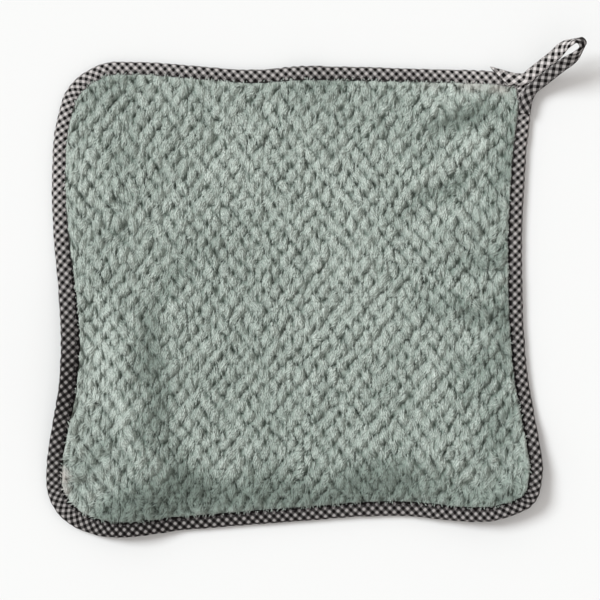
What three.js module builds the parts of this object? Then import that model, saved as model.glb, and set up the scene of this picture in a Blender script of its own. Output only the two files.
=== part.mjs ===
// A square coral-fleece dishcloth lying flat, its edge bound in folded gingham tape,
// with a hanging loop of the same tape standing up from one corner.
// Millimetres, +Z up. The origin is on the surface it lies on, under the middle of the cloth.

import * as THREE from 'three';

// Driving dimensions
const pileThickness = 6.0;     // fleece from face to face, pile included
const marginThickness = 2.4;   // fleece pressed flat inside the tape
const tapeWall = 0.8;          // folded tape on one face of the cloth
const sewnGap = 0.35;          // clearance between two pieces that are sewn together
const tapeRound = 1.3;         // how far in from the edge the tape starts to round over
const roundIn = 0.3;           // middle of that rounding, as shares of it inwards
const roundDown = 0.45;        // and downwards
const loopTapeWidth = 6.3;     // tape folded shut for the loop
const loopTapeThickness = 1.6;
const loopBevel = 0.4;         // its long edges are rounded off this far

const bindingHeight = 2 * tapeWall + 2 * sewnGap + marginThickness;
const sideStations = 36;       // steps along each of the four sides
const stationCount = 4 * sideStations;

const colours = { fleece: 0x8f9a90, tape: 0x6d6764 };

// Outer edge of the tape seen from above, clockwise from the top-left corner.
// tape is how wide the tape shows there; corner marks the middle of each rounded corner.
const edgeRows = [
  { x: -120.6, y: 112.6, tape: 6.8, corner: true },
  { x: -104.0, y: 123.6, tape: 6.5 },
  { x: -84.0, y: 124.7, tape: 6.4 },
  { x: -26.0, y: 120.8, tape: 6.6 },
  { x: 2.0, y: 122.5, tape: 7.0 },
  { x: 60.0, y: 121.2, tape: 6.6 },
  { x: 108.5, y: 119.0, tape: 6.6 },
  { x: 118.0, y: 115.8, tape: 6.6, corner: true },
  { x: 121.0, y: 106.0, tape: 6.6 },
  { x: 118.6, y: 76.0, tape: 6.8 },
  { x: 116.4, y: 28.0, tape: 7.0 },
  { x: 118.8, y: -34.0, tape: 6.9 },
  { x: 125.4, y: -75.0, tape: 6.6 },
  { x: 126.9, y: -90.0, tape: 6.5 },
  { x: 122.2, y: -106.2, tape: 6.6, corner: true },
  { x: 104.0, y: -114.8, tape: 7.0 },
  { x: 87.0, y: -116.0, tape: 7.3 },
  { x: 50.0, y: -113.1, tape: 7.3 },
  { x: -12.0, y: -116.8, tape: 6.9 },
  { x: -60.0, y: -120.6, tape: 7.0 },
  { x: -96.0, y: -124.3, tape: 7.8 },
  { x: -113.0, y: -121.4, tape: 8.4 },
  { x: -125.0, y: -114.0, tape: 8.7, corner: true },
  { x: -132.0, y: -102.0, tape: 8.2 },
  { x: -132.6, y: -86.0, tape: 7.8 },
  { x: -126.0, y: -43.0, tape: 8.9 },
  { x: -125.2, y: -14.0, tape: 9.3 },
  { x: -129.4, y: 38.0, tape: 7.4 },
  { x: -130.0, y: 66.0, tape: 6.7 },
  { x: -127.6, y: 94.0, tape: 6.7 },
];

// Folds and lifted edges. Each is a crest that runs through its rows: rise is how far the
// whole cloth stands off the surface there, and half is how far the slope reaches sideways.
const folds = [
  { name: 'left ridge', rows: [
    { x: -93, y: 18, rise: 0.8, half: 13 },
    { x: -91, y: -32, rise: 4.6, half: 18 },
    { x: -84, y: -70, rise: 4.4, half: 20 },
    { x: -86, y: -128, rise: 4.2, half: 27 },
  ] },
  { name: 'left edge curl', rows: [
    { x: -128, y: 22, rise: 0.5, half: 12 },
    { x: -125, y: -12, rise: 5.2, half: 14 },
    { x: -126, y: -43, rise: 5.8, half: 14 },
    { x: -131, y: -72, rise: 3.4, half: 12 },
    { x: -134, y: -92, rise: 0.6, half: 10 },
  ] },
  { name: 'bottom-right corner', rows: [
    { x: 129, y: -72, rise: 2.6, half: 20 },
    { x: 127, y: -104, rise: 6.6, half: 30 },
    { x: 102, y: -120, rise: 5.6, half: 26 },
    { x: 72, y: -119, rise: 1.6, half: 18 },
  ] },
  { name: 'crease under the top edge', rows: [
    { x: 98, y: 107, rise: 0.4, half: 7 },
    { x: 84, y: 103, rise: 2.8, half: 10 },
    { x: 60, y: 94, rise: 1.2, half: 11 },
  ] },
  { name: 'second crease', rows: [
    { x: 91, y: 80, rise: 1.4, half: 10 },
    { x: 68, y: 68, rise: 2.6, half: 11 },
    { x: 50, y: 55, rise: 0.8, half: 10 },
  ] },
  { name: 'third crease', rows: [
    { x: 101, y: 46, rise: 1.2, half: 10 },
    { x: 74, y: 32, rise: 1.9, half: 12 },
  ] },
  { name: 'fourth crease', rows: [
    { x: 106, y: 8, rise: 1.0, half: 10 },
    { x: 82, y: -3, rise: 2.0, half: 13 },
  ] },
  { name: 'swell above the bottom edge', rows: [
    { x: 4, y: -84, rise: 1.4, half: 20 },
    { x: 70, y: -84, rise: 2.4, half: 22 },
  ] },
  { name: 'ripple in the top edge', rows: [
    { x: 3, y: 126, rise: 2.6, half: 17 },
    { x: 0, y: 108, rise: 0.8, half: 14 },
  ] },
];

// The loop: both legs leave the corner side by side, turn on edge and meet round the eye.
const loop = {
  corner: { x: 119.5, y: 113.0 },   // where the middle line between the legs starts
  heading: 38,                      // degrees from +X, seen from above
  twistAtEye: 90,                   // the tape turns on edge along the eye, by these degrees
  twistFrom: 19,                    // from this far out to that
  twistTo: 33,
  twistAtTip: 74,                   // and leans back again across the square tip
  tipTurnFrom: 32,
  tipTurnTo: 33.2,
  cutSlant: 10,                     // the lapped end is cut this far off square
  cutPoint: 3.4,                    // its outer corner sticks out past the edge
  cutLift: 1.2,
  thinEnd: 0.45,                    // share of the thickness left at the tapered end
  thinFrom: 0.93,                   // share of the tape's length where the taper starts
  steps: 84,                        // along the whole tape
};

// Height of the middle of the loop's tape, by the distance out from the corner.
const lapHeight = bindingHeight + sewnGap + loopTapeThickness / 2;
const loopRise = [
  { out: -60, height: lapHeight },
  { out: -8, height: lapHeight },
  { out: 0, height: lapHeight + 0.15 },
  { out: 5, height: 7.2 },
  { out: 12, height: 11.4 },
  { out: 20, height: 16.8 },
  { out: 28, height: 21.8 },
  { out: 34.3, height: 25.2 },
  { out: 40, height: 28.0 },
];

// Middle line of the loop's tape, from the lapped end to the tapered one. Rows with out and
// side are measured along and across the loop's own middle line, the others lie on the cloth.
const loopRows = [
  { x: 109.2, y: 115.5 },
  { x: 113.6, y: 115.5 },
  { out: 0.0, side: 3.4 },
  { out: 6.0, side: 3.35 },
  { out: 14.0, side: 3.3 },
  { out: 19.0, side: 3.35 },
  { out: 23.2, side: 3.7 },
  { out: 26.5, side: 3.7 },
  { out: 29.4, side: 2.9 },
  { out: 31.8, side: 2.1 },
  { out: 33.1, side: 0.9 },
  { out: 33.1, side: -0.9 },
  { out: 31.8, side: -2.2 },
  { out: 29.4, side: -2.9 },
  { out: 26.5, side: -3.5 },
  { out: 23.2, side: -3.55 },
  { out: 19.0, side: -3.35 },
  { out: 14.0, side: -3.3 },
  { out: 6.0, side: -3.35 },
  { out: 0.0, side: -3.4 },
  { x: 118.7, y: 105.2 },
  { x: 117.4, y: 97.5 },
];

// A closed body built up from points and faces
class Body {
  constructor() {
    this.positions = [];
    this.faces = [];
  }

  point(x, y, z) {
    this.positions.push(x, y, z);
    return this.positions.length / 3 - 1;
  }

  // Corners anticlockwise seen from outside, split from the first corner to the third
  quad(a, b, c, d) {
    this.faces.push(a, b, c, a, c, d);
  }

  mesh(name, colour, roughness) {
    const geometry = new THREE.BufferGeometry();
    geometry.setAttribute('position', new THREE.Float32BufferAttribute(this.positions, 3));
    geometry.setIndex(this.faces);
    geometry.computeVertexNormals();
    const material = new THREE.MeshStandardMaterial({ color: colour, roughness, metalness: 0 });
    material.name = name;
    const mesh = new THREE.Mesh(geometry, material);
    mesh.name = name;
    return mesh;
  }
}

const { clamp, lerp, degToRad } = THREE.MathUtils;

function smoothStep(low, high, value) {
  const t = clamp((value - low) / (high - low), 0, 1);
  return t * t * (3 - 2 * t);
}

// Height of one fold over a point: a soft bell round the nearest place on its crest
function foldHeight(rows, x, y) {
  let highest = 0;
  for (let i = 0; i + 1 < rows.length; i++) {
    const from = rows[i];
    const to = rows[i + 1];
    const dx = to.x - from.x;
    const dy = to.y - from.y;
    const t = clamp(((x - from.x) * dx + (y - from.y) * dy) / (dx * dx + dy * dy), 0, 1);
    const away = Math.hypot(x - from.x - t * dx, y - from.y - t * dy);
    const reach = away / lerp(from.half, to.half, t);
    if (reach < 1) highest = Math.max(highest, lerp(from.rise, to.rise, t) * (1 - reach * reach) ** 2);
  }
  return highest;
}

// How far the underside of the cloth stands off the surface
function lift(x, y) {
  return folds.reduce((sum, fold) => sum + foldHeight(fold.rows, x, y), 0);
}

// Stations round the outer edge, closer together where it turns, with the same number on
// each side. Each has its place, the way inwards and the width of the tape.
function edgeStations() {
  const curve = new THREE.CatmullRomCurve3(
    edgeRows.map((row) => new THREE.Vector3(row.x, row.y, row.tape)), true, 'centripetal');
  const stepsPerRow = 40;
  const total = stepsPerRow * edgeRows.length;
  const samples = [];
  for (let i = 0; i < total; i++) {
    const at = curve.getPoint(i / total);
    const ahead = curve.getPoint((i + 1) / total % 1);
    const behind = curve.getPoint((i - 1 + total) / total % 1);
    const heading = Math.atan2(ahead.y - behind.y, ahead.x - behind.x);
    samples.push({ x: at.x, y: at.y, tape: at.z, heading, length: Math.hypot(ahead.x - at.x, ahead.y - at.y) });
  }

  const turnWeight = 14;       // one radian of turn counts as this many millimetres of edge
  const stations = [];
  const corners = edgeRows.map((row, i) => (row.corner ? i * stepsPerRow : -1)).filter((i) => i >= 0);
  corners.forEach((first, side) => {
    const last = side + 1 < corners.length ? corners[side + 1] : total + corners[0];
    const run = [0];
    for (let i = first; i < last; i++) {
      const here = samples[i % total];
      const next = samples[(i + 1) % total];
      const turn = Math.abs(Math.atan2(Math.sin(next.heading - here.heading), Math.cos(next.heading - here.heading)));
      run.push(run[run.length - 1] + here.length + turnWeight * turn);
    }
    let i = 0;
    for (let step = 0; step < sideStations; step++) {
      const wanted = run[run.length - 1] * step / sideStations;
      while (run[i + 1] <= wanted) i++;
      const t = (wanted - run[i]) / (run[i + 1] - run[i]);
      const a = samples[(first + i) % total];
      const b = samples[(first + i + 1) % total];
      const turn = Math.atan2(Math.sin(b.heading - a.heading), Math.cos(b.heading - a.heading));
      const heading = a.heading + t * turn;
      stations.push({
        x: lerp(a.x, b.x, t),
        y: lerp(a.y, b.y, t),
        tape: lerp(a.tape, b.tape, t),
        inX: Math.sin(heading),
        inY: -Math.cos(heading),
      });
    }
  });
  return stations;
}

const stations = edgeStations();
const pastTape = 0.6;          // the fleece stays thin this far past the tape
const shoulderRun = 4.4;       // and is at full thickness this much further in

// Inside the tape the cloth is straight across, from its outer edge to just past the tape
function tapeBase(station, inward) {
  const reach = station.tape + pastTape;
  const outer = lift(station.x, station.y);
  const inner = lift(station.x + station.inX * reach, station.y + station.inY * reach);
  return lerp(outer, inner, inward / reach);
}

function tapePoint(station, inward, height) {
  return [
    station.x + station.inX * inward,
    station.y + station.inY * inward,
    tapeBase(station, inward) + height,
  ];
}

// The fleece: two matching faces joined along a thin margin that sits inside the tape
function fleecePanel() {
  const body = new Body();
  const marginBottom = tapeWall + sewnGap;
  const marginTop = marginBottom + marginThickness;
  const edgeInset = tapeWall + sewnGap;

  // Plan of the ring where the fleece reaches its full thickness
  const shoulder = stations.map((station) => {
    const reach = station.tape + pastTape;
    const x = station.x + station.inX * reach;
    const y = station.y + station.inY * reach;
    const away = Math.hypot(x, y);
    return { x: x - shoulderRun * x / away, y: y - shoulderRun * y / away };
  });

  // Plan of the middle: a grid stretched between the four sides of that ring
  const n = sideStations;
  const gridPlan = (i, j) => {
    const u = i / n;
    const v = j / n;
    const top = shoulder[i];
    const right = shoulder[n + j];
    const bottom = shoulder[2 * n + (n - i)];
    const left = shoulder[(3 * n + (n - j)) % stationCount];
    const blend = (axis) => (1 - v) * top[axis] + v * bottom[axis] + (1 - u) * left[axis] + u * right[axis]
      - (1 - u) * (1 - v) * shoulder[0][axis] - u * (1 - v) * shoulder[n][axis]
      - u * v * shoulder[2 * n][axis] - (1 - u) * v * shoulder[3 * n][axis];
    return { x: blend('x'), y: blend('y') };
  };

  const face = (marginHeight, fullHeight) => {
    const margin = stations.map((station) => body.point(...tapePoint(station, edgeInset, marginHeight)));
    const neck = stations.map((station) => body.point(...tapePoint(station, station.tape + pastTape, marginHeight)));
    const ring = shoulder.map(({ x, y }) => body.point(x, y, lift(x, y) + fullHeight));
    const grid = [];
    for (let i = 0; i <= n; i++) {
      grid.push([]);
      for (let j = 0; j <= n; j++) {
        let index;
        if (j === 0) index = ring[i];
        else if (i === n) index = ring[n + j];
        else if (j === n) index = ring[2 * n + (n - i)];
        else if (i === 0) index = ring[3 * n + (n - j)];
        else {
          const { x, y } = gridPlan(i, j);
          index = body.point(x, y, lift(x, y) + fullHeight);
        }
        grid[i].push(index);
      }
    }
    return { rings: [margin, neck, ring], grid };
  };

  const top = face(marginTop, pileThickness);
  const under = face(marginBottom, 0);

  for (const { side, up } of [{ side: top, up: true }, { side: under, up: false }]) {
    const addQuad = (a, b, c, d) => (up ? body.quad(a, b, c, d) : body.quad(a, d, c, b));
    for (let r = 0; r + 1 < side.rings.length; r++) {
      const outer = side.rings[r];
      const inner = side.rings[r + 1];
      for (let k = 0; k < stationCount; k++) {
        const next = (k + 1) % stationCount;
        addQuad(outer[k], inner[k], inner[next], outer[next]);
      }
    }
    for (let i = 0; i < n; i++) {
      for (let j = 0; j < n; j++) {
        const a = side.grid[i][j];
        const b = side.grid[i][j + 1];
        const c = side.grid[i + 1][j + 1];
        const d = side.grid[i + 1][j];
        // Each quarter is split towards its own corner, so no face there is a sliver
        if ((i < n / 2) === (j < n / 2)) addQuad(a, b, c, d);
        else addQuad(b, c, d, a);
      }
    }
  }
  for (let k = 0; k < stationCount; k++) {
    const next = (k + 1) % stationCount;
    body.quad(top.rings[0][k], top.rings[0][next], under.rings[0][next], under.rings[0][k]);
  }
  return body.mesh('fleece_panel', colours.fleece, 0.95);
}

// The tape round the edge: one C-shaped section carried along every station
function edgeBinding() {
  const body = new Body();
  const high = bindingHeight;
  const section = (tape) => [
    { inward: tape, height: high },
    { inward: tapeRound, height: high },
    { inward: tapeRound * roundIn, height: high - tapeRound * roundDown },
    { inward: 0, height: high - tapeRound },
    { inward: 0, height: tapeRound },
    { inward: tapeRound * roundIn, height: tapeRound * roundDown },
    { inward: tapeRound, height: 0 },
    { inward: tape, height: 0 },
    { inward: tape, height: tapeWall },
    { inward: tapeWall, height: tapeWall },
    { inward: tapeWall, height: high - tapeWall },
    { inward: tape, height: high - tapeWall },
  ];
  const sections = stations.map((station) => section(station.tape)
    .map(({ inward, height }) => body.point(...tapePoint(station, inward, height))));
  const profile = section(stations[0].tape);
  for (let k = 0; k < stationCount; k++) {
    const here = sections[k];
    const next = sections[(k + 1) % stationCount];
    for (let j = 0; j < here.length; j++) {
      const up = (j + 1) % here.length;
      // Split the same way as the fleece beside it, so the gap between them stays even
      if (profile[j].inward > profile[up].inward) body.quad(next[j], next[up], here[up], here[j]);
      else body.quad(here[j], next[j], next[up], here[up]);
    }
  }
  return body.mesh('edge_binding', colours.tape, 0.85);
}

// The loop's tape, folded shut: lapped over the top edge, out to the eye and back
function hangingLoop() {
  const heading = degToRad(loop.heading);
  const outWay = new THREE.Vector3(Math.cos(heading), Math.sin(heading), 0);
  const sideWay = new THREE.Vector3(-Math.sin(heading), Math.cos(heading), 0);
  const corner = new THREE.Vector3(loop.corner.x, loop.corner.y, 0);
  const rise = new THREE.CatmullRomCurve3(
    loopRise.map((row) => new THREE.Vector3(row.out, row.height, 0)), false, 'centripetal');
  const stepsPerRow = 50;
  const risePoints = rise.getPoints(stepsPerRow * loopRise.length);

  const riseAt = (out) => {
    let i = 0;
    while (i + 2 < risePoints.length && risePoints[i + 1].x < out) i++;
    const a = risePoints[i];
    const b = risePoints[i + 1];
    const slope = (b.y - a.y) / (b.x - a.x);
    return { height: a.y + slope * (out - a.x), slope: Math.atan(slope) };
  };

  const plan = loopRows.map((row) => ('out' in row
    ? corner.clone().addScaledVector(outWay, row.out).addScaledVector(sideWay, row.side)
    : new THREE.Vector3(row.x, row.y, 0)));
  const path = new THREE.CatmullRomCurve3(plan, false, 'centripetal');
  const nearby = 0.002;          // share of the length ahead and behind that gives the tape's direction
  const at = (t) => {
    const place = path.getPointAt(clamp(t, 0, 1));
    const out = place.clone().sub(corner).dot(outWay);
    const { height, slope } = riseAt(out);
    place.z = height;
    return { place, out, slope };
  };

  const body = new Body();
  const halfWidth = loopTapeWidth / 2;
  const halfThick = loopTapeThickness / 2;
  const section = [
    { across: halfWidth, above: loopBevel - halfThick },
    { across: halfWidth, above: halfThick - loopBevel },
    { across: halfWidth - loopBevel, above: halfThick },
    { across: loopBevel - halfWidth, above: halfThick },
    { across: -halfWidth, above: halfThick - loopBevel },
    { across: -halfWidth, above: loopBevel - halfThick },
    { across: loopBevel - halfWidth, above: -halfThick },
    { across: halfWidth - loopBevel, above: -halfThick },
  ];

  const sections = [];
  for (let step = 0; step <= loop.steps; step++) {
    const t = step / loop.steps;
    const { place, out, slope } = at(t);
    const along = at(t + nearby).place.sub(at(t - nearby).place).normalize();
    const normal = outWay.clone().multiplyScalar(-Math.sin(slope));
    normal.z = Math.cos(slope);
    const outward = normal.clone().cross(along).normalize();
    const up = along.clone().cross(outward);
    const turned = -degToRad(loop.twistAtEye * smoothStep(loop.twistFrom, loop.twistTo, out)
      + (loop.twistAtTip - loop.twistAtEye) * smoothStep(loop.tipTurnFrom, loop.tipTurnTo, out));
    const across = outward.clone().multiplyScalar(Math.cos(turned)).addScaledVector(up, Math.sin(turned));
    const above = up.clone().multiplyScalar(Math.cos(turned)).addScaledVector(outward, -Math.sin(turned));
    const thin = lerp(1, loop.thinEnd, smoothStep(loop.thinFrom, 1, t));
    sections.push(section.map((edge) => {
      const spot = place.clone()
        .addScaledVector(across, edge.across)
        .addScaledVector(above, edge.above * thin - halfThick * (1 - thin));
      if (step === 0) {
        const outer = (edge.across + halfWidth) / loopTapeWidth;
        spot.addScaledVector(along, -loop.cutSlant * outer);
        spot.addScaledVector(outward, loop.cutPoint * outer ** 2);
        spot.z += loop.cutLift * outer ** 2;
      }
      return body.point(spot.x, spot.y, spot.z);
    }));
  }

  for (let k = 0; k < loop.steps; k++) {
    for (let j = 0; j < section.length; j++) {
      const up = (j + 1) % section.length;
      body.quad(sections[k][j], sections[k][up], sections[k + 1][up], sections[k + 1][j]);
    }
  }
  const closeEnd = (ring) => {
    for (let j = 1; j + 1 < ring.length; j++) body.faces.push(ring[0], ring[j], ring[j + 1]);
  };
  closeEnd([...sections[0]].reverse());
  closeEnd(sections[loop.steps]);
  return body.mesh('hanging_loop', colours.tape, 0.85);
}

const dishcloth = new THREE.Group();
dishcloth.name = 'dishcloth';
dishcloth.add(fleecePanel(), edgeBinding(), hangingLoop());

export default dishcloth;
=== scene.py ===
# A coral-fleece dishcloth lying flat, bound in gingham bias tape, with a hanging loop at one corner
import math

import bpy
import numpy as np
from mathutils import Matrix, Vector, kdtree


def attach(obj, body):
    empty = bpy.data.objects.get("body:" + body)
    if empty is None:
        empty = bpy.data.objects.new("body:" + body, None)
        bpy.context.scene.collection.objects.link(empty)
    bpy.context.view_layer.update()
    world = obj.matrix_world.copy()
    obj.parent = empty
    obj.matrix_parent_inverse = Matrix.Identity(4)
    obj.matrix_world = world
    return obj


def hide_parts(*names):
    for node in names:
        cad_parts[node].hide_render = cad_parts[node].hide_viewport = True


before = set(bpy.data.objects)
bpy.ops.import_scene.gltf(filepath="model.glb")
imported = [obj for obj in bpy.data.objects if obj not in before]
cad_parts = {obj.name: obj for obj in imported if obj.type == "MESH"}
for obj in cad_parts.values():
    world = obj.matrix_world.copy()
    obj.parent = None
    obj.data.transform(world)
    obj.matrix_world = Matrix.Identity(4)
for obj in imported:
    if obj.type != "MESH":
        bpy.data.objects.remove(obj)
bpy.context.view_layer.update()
scene = bpy.context.scene

# Lengths are in millimetres here, and makePiece turns them into Blender's metres
cloth = {
    "margin": 2.4,          # fleece pressed flat inside the tape
    "tapeWall": 0.8,        # folded tape on one face
    "sewnGap": 0.35,        # clearance between pieces that are sewn together
    "pastTape": 0.3,        # the fleece stays thin this far past the tape
    "shoulder": 2.6,        # and is full this much further in
    "sideSteps": 256,       # steps of the ground cloth along each side, seen from above
    "underSteps": 128,      # and on the underside
}
marginLow = cloth["tapeWall"] + cloth["sewnGap"]
marginHigh = marginLow + cloth["margin"]
bindingHeight = marginHigh + marginLow

# Outer edge of the tape seen from above, clockwise from the top-left corner, how wide the tape shows,
# and here and there how much painted shade darkens it, which changes evenly in between
# the painted shade is heaviest along the bottom and left, where the tape turns from the light, and also holds
# some of the tape's own darker tone
edgeRows = [
    {"x": -120.6, "y": 112.6, "tape": 6.8, "paintedShade": 0.4, "corner": True},
    {"x": -104, "y": 123.6, "tape": 6.5},
    {"x": -84, "y": 124.7, "tape": 6.4},
    {"x": -26, "y": 120.8, "tape": 6.6, "paintedShade": 0.55},
    {"x": 2, "y": 122.5, "tape": 7},
    {"x": 60, "y": 121.2, "tape": 6.6, "paintedShade": 0.55},
    {"x": 108.5, "y": 119, "tape": 6.6},
    {"x": 118, "y": 115.8, "tape": 6.6, "paintedShade": 0.25, "corner": True},
    {"x": 121, "y": 106, "tape": 6.6},
    {"x": 118.6, "y": 76, "tape": 6.8, "paintedShade": 0.55},
    {"x": 116.4, "y": 28, "tape": 7},
    {"x": 118.8, "y": -34, "tape": 6.9},
    {"x": 125.4, "y": -75, "tape": 6.6},
    {"x": 126.9, "y": -90, "tape": 6.5},
    {"x": 122.2, "y": -106.2, "tape": 6.6, "paintedShade": 0.7, "corner": True},
    {"x": 104, "y": -114.8, "tape": 7},
    {"x": 87, "y": -116, "tape": 7.3},
    {"x": 50, "y": -113.1, "tape": 7.3, "paintedShade": 0.7},
    {"x": -12, "y": -116.8, "tape": 6.9},
    {"x": -60, "y": -120.6, "tape": 7},
    {"x": -96, "y": -124.3, "tape": 7.8, "paintedShade": 0.8},
    {"x": -113, "y": -121.4, "tape": 8.4},
    {"x": -125, "y": -114, "tape": 8.7, "paintedShade": 0.65, "corner": True},
    {"x": -132, "y": -102, "tape": 8.2},
    {"x": -132.6, "y": -86, "tape": 7.8},
    {"x": -126, "y": -43, "tape": 8.9, "paintedShade": 0.8},
    {"x": -125.2, "y": -14, "tape": 9.3},
    {"x": -129.4, "y": 38, "tape": 7.4},
    {"x": -130, "y": 66, "tape": 6.7, "paintedShade": 0.4},
    {"x": -127.6, "y": 94, "tape": 6.7},
]

# Folds and lifted edges: crests as x, y, rise off the surface, and how far the slope reaches sideways
folds = {
    "left ridge": [(-93, 18, 0.8, 13), (-91, -32, 4.6, 18), (-84, -70, 4.4, 20), (-86, -128, 4.2, 27)],
    "left edge curl": [(-128, 22, 0.5, 12), (-125, -12, 5.2, 14), (-126, -43, 5.8, 14),
                       (-131, -72, 3.4, 12), (-134, -92, 0.6, 10)],
    "bottom-right corner": [(129, -72, 2.6, 20), (127, -104, 6.6, 30), (102, -120, 5.6, 26),
                            (72, -119, 1.6, 18)],
    "crease under the top edge": [(98, 107, 0.4, 7), (84, 103, 2.8, 10), (60, 94, 1.2, 11)],
    "second crease": [(91, 80, 1.4, 10), (68, 68, 2.6, 11), (50, 55, 0.8, 10)],
    "third crease": [(101, 46, 1.2, 10), (74, 32, 1.9, 12)],
    "fourth crease": [(106, 8, 1.0, 10), (82, -3, 2.0, 13)],
    "swell above the bottom edge": [(4, -84, 1.4, 20), (70, -84, 2.4, 22)],
    "ripple in the top edge": [(3, 126, 2.6, 17), (0, 108, 0.8, 14)],
}


def smoothStep(low, high, value):
    t = np.clip((value - low) / (high - low), 0, 1)
    return t * t * (3 - 2 * t)


def blend(start, end, share):
    return start + (end - start) * share


def crests(table, x, y):
    # sum of bells that run along lines of x, y, amount and reach to the side
    total = np.zeros(np.shape(x))
    for rows in table.values():
        highest = np.zeros(np.shape(x))
        for (ax, ay, aMuch, aHalf), (bx, by, bMuch, bHalf) in zip(rows, rows[1:]):
            dx, dy = bx - ax, by - ay
            t = np.clip(((x - ax) * dx + (y - ay) * dy) / (dx * dx + dy * dy), 0, 1)
            away = np.hypot(x - ax - t * dx, y - ay - t * dy) / blend(aHalf, bHalf, t)
            here = blend(aMuch, bMuch, t) * np.clip(1 - away ** 2, 0, 1) ** 2
            highest = np.where(np.abs(here) > np.abs(highest), here, highest)
        total += highest
    return total


def lift(x, y):
    # how far the underside of the cloth stands off the surface
    return crests(folds, x, y)


def softNoise(x, y, size, seed):
    # smooth random swells from -1 to 1, about size across
    table = np.random.default_rng(seed).uniform(-1, 1, (64, 64))
    u, v = np.asarray(x) / size + 500, np.asarray(y) / size + 500
    i, j = np.floor(u).astype(int), np.floor(v).astype(int)
    s, t = smoothStep(0, 1, u - i), smoothStep(0, 1, v - j)
    i, j, nextI, nextJ = i % 64, j % 64, (i + 1) % 64, (j + 1) % 64
    low = blend(table[i, j], table[nextI, j], s)
    high = blend(table[i, nextJ], table[nextI, nextJ], s)
    return blend(low, high, t)


def smoothCurve(rows, steps, closed):
    # evenly eased points through every row, with no overshoot where rows lie close together
    p = np.array(rows, float)
    if closed:
        p = np.vstack([p[-1:], p, p[:2]])
    else:
        p = np.vstack([2 * p[:1] - p[1:2], p, 2 * p[-1:] - p[-2:-1]])
    a, b, c, d = p[:-3], p[1:-2], p[2:-1], p[3:]
    spans = ((a, b), (b, c), (c, d))
    ab, bc, cd = (np.linalg.norm(far - near, axis=1)[:, None] ** 0.5 for near, far in spans)
    leave = ((b - a) / ab - (c - a) / (ab + bc) + (c - b) / bc) * bc
    arrive = ((c - b) / bc - (d - b) / (bc + cd) + (d - c) / cd) * bc
    t = (np.arange(steps) / steps)[:, None, None]
    curve = b + leave * t
    curve = curve + (3 * (c - b) - 2 * leave - arrive) * t ** 2 + (2 * (b - c) + leave + arrive) * t ** 3
    curve = curve.transpose(1, 0, 2).reshape(-1, p.shape[1])
    return curve if closed else np.vstack([curve, p[-2]])


def runOf(points):
    # distance travelled at each point of a line
    return np.concatenate([[0], np.cumsum(np.linalg.norm(np.diff(points, axis=0), axis=1))])


# The edge as one dense closed line, with the way inwards at every point
rowSteps = 60
edgeLine = smoothCurve([(row["x"], row["y"], row["tape"]) for row in edgeRows], rowSteps, True)
edgeAhead = np.roll(edgeLine, -1, axis=0)[:, :2] - np.roll(edgeLine, 1, axis=0)[:, :2]
edgeAhead /= np.linalg.norm(edgeAhead, axis=1)[:, None]
edgeIn = np.stack([edgeAhead[:, 1], -edgeAhead[:, 0]], axis=1)
edgeRun = runOf(np.vstack([edgeLine[:, :2], edgeLine[:1, :2]]))
edgeLength = edgeRun[-1]
rowRuns = edgeRun[np.arange(len(edgeRows)) * rowSteps]
edgeTree = kdtree.KDTree(len(edgeLine))
for index, (x, y, _) in enumerate(edgeLine):
    edgeTree.insert((x, y, 0), index)
edgeTree.balance()


def stationsAt(runs):
    # place, tape width and way inwards at distances round the edge
    columns = np.column_stack([edgeLine, edgeIn])
    columns = np.vstack([columns, columns[:1]])
    found = np.stack([np.interp(runs % edgeLength, edgeRun, column) for column in columns.T], axis=1)
    found[:, 3:] /= np.linalg.norm(found[:, 3:], axis=1)[:, None]
    return found


def tapeBase(station, inward):
    # inside the tape the cloth is straight across
    x, y, wide, inX, inY = station
    reach = wide + cloth["pastTape"]
    return blend(lift(x, y), lift(x + inX * reach, y + inY * reach), inward / reach)


def edgeZone(x, y):
    # how far inside the outer edge each place is, the reach of the tape there, and its base height
    near = np.array([edgeTree.find((a, b, 0))[1] for a, b in zip(x, y)])
    inward = (x - edgeLine[near, 0]) * edgeIn[near, 0] + (y - edgeLine[near, 1]) * edgeIn[near, 1]
    reach = edgeLine[near, 2] + cloth["pastTape"]
    station = (*edgeLine[near].T, *edgeIn[near].T)
    return inward, reach, tapeBase(station, np.clip(inward, 0, reach))


# The pile stands in tufts, in columns with every second one half a step along, with slits between them
pile = {
    "column": 4.4,          # from one column to the next
    "row": 5.0,
    "wobble": 0.8,          # how far the columns wander
    "tuftWide": 3.1,        # reach of a tuft from its middle to the side
    "tuftLong": 7.2,        # and along it
    "crown": 6.9,           # height of a tuft's middle above the underside
    "dome": 2.9,            # drop from the crown of a tuft to its rim
    "slitDepth": 2.3,
    "slitWide": 0.78,
    "slitLong": 2.6,
    "crease": 1.3,          # where two tufts meet, though many have grown together
    "creaseWide": 0.34,
    "shuffle": 0.8,         # tufts are pushed out of their rows this far
    "shuffleSize": 4.6,
    "lumps": 1.8,           # each tuft is made of smaller clumps this high
    "lumpSize": 2.5,
    "clumps": 2.7,          # and of brushed-out strands this high
    "clumpSize": 4.8,
    "thinnest": 2.3,        # the fleece is nowhere thinner than this
    "underLow": 0.25,       # the underside is pressed flatter by the surface it lies on
    "underSlit": 1.3,
}
tableSize = 96

# Brushed-out patches where the tufts have opened into loose strands: x, y, radius, how much
brushedSpots = [
    (-118, -88, 24, 1.0), (-108, -108, 20, 1.0), (-84, -112, 16, 0.75), (-56, -112, 12, 0.6),
    (-20, -108, 11, 0.35), (20, -106, 11, 0.35), (60, -104, 13, 0.45), (104, -98, 21, 0.7),
    (118, -76, 14, 0.45), (98, 30, 17, 0.6), (92, -14, 14, 0.4), (-112, -52, 12, 0.6),
]


def brushedShare(x, y):
    share = np.zeros(np.shape(x))
    for cx, cy, radius, much in brushedSpots:
        away = np.hypot(x - cx, y - cy) / radius
        share = np.maximum(share, much * smoothStep(1.35, 0.55, away))
    return share


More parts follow.
